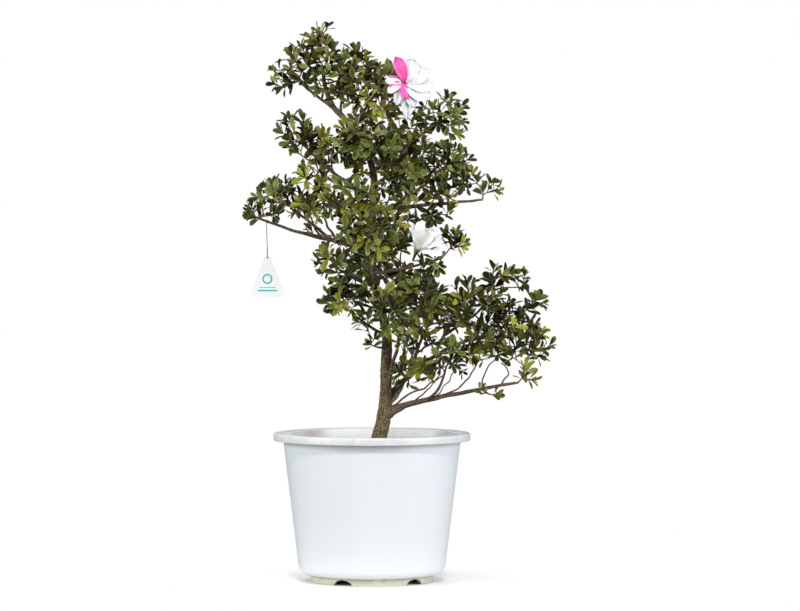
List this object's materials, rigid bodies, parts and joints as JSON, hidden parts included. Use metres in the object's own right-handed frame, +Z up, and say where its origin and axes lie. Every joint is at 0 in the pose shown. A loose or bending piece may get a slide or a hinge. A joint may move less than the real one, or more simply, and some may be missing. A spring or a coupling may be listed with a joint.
{
  "type": "azalea bonsai in a plastic pot",
  "caption": "Slender azalea bonsai with a leaning trunk, layered leafy boughs and two blossoms, in a white tapered plastic pot with a blank tag.",
  "frame": {"origin": "middle of the plant's bounding box, on the surface that the pot stands on", "axes": "+Z up from the pot's foot to the crown, -Y towards the front with the open blossom, +X towards the long low bough"},
  "size_m": [0.435, 0.27, 0.7696],
  "materials": {
    "pot_plastic": "smooth moulded white plastic, satin, slightly scuffed",
    "potting_soil": "crumbly moist soil mix, matt",
    "bark": "rough brown-grey bark",
    "branch_bark": "thin reddish grey-brown bark",
    "foliage": "leathery dark green leaves with a soft sheen",
    "label_plastic": "white plastic sheet with a thin printed border",
    "tie_wire": "dark coated wire"
  },
  "bodies": {
    "root": {"bough_back_low": "branch_bark", "bough_centre_back": "branch_bark", "bough_flower_right": "branch_bark", "bough_high_back": "branch_bark", "bough_left_fork": "branch_bark", "bough_left_high": "branch_bark", "bough_left_long": "branch_bark", "bough_left_long_fork": "branch_bark", "bough_left_low": "branch_bark", "bough_low_front": "branch_bark", "bough_low_right": "branch_bark", "bough_right_back": "branch_bark", "bough_right_far": "branch_bark", "bough_right_high": "branch_bark", "bough_right_long": "branch_bark", "bough_right_long_fork": "branch_bark", "bough_right_main": "branch_bark", "bough_right_top": "branch_bark", "bough_right_upright": "branch_bark", "bough_top_left": "branch_bark", "bough_top_right": "branch_bark", "bough_upper_right": "branch_bark", "foliage_apex": "foliage", "foliage_back_low": "foliage", "foliage_centre_back": "foliage", "foliage_centre_front": "foliage", "foliage_flower_right": "foliage", "foliage_front_low": "foliage", "foliage_high_back": "foliage", "foliage_high_front": "foliage", "foliage_left_centre": "foliage", "foliage_left_fork": "foliage", "foliage_left_long": "foliage", "foliage_left_low": "foliage", "foliage_left_tip": "foliage", "foliage_left_upper": "foliage", "foliage_low_front": "foliage", "foliage_right_back": "foliage", "foliage_right_far": "foliage", "foliage_right_high": "foliage", "foliage_right_inner": "foliage", "foliage_right_main": "foliage", "foliage_right_mid": "foliage", "foliage_right_tip": "foliage", "foliage_right_top": "foliage", "foliage_right_upper": "foliage", "foliage_top_inner": "foliage", "foliage_top_left": "foliage", "foliage_top_right": "foliage", "foliage_trunk_shoots": "foliage", "foliage_upper_right": "foliage", "label": "label_plastic", "label_wire": "tie_wire", "pot": "pot_plastic", "soil": "potting_soil", "trunk": "bark"}
  },
  "joints": []
}
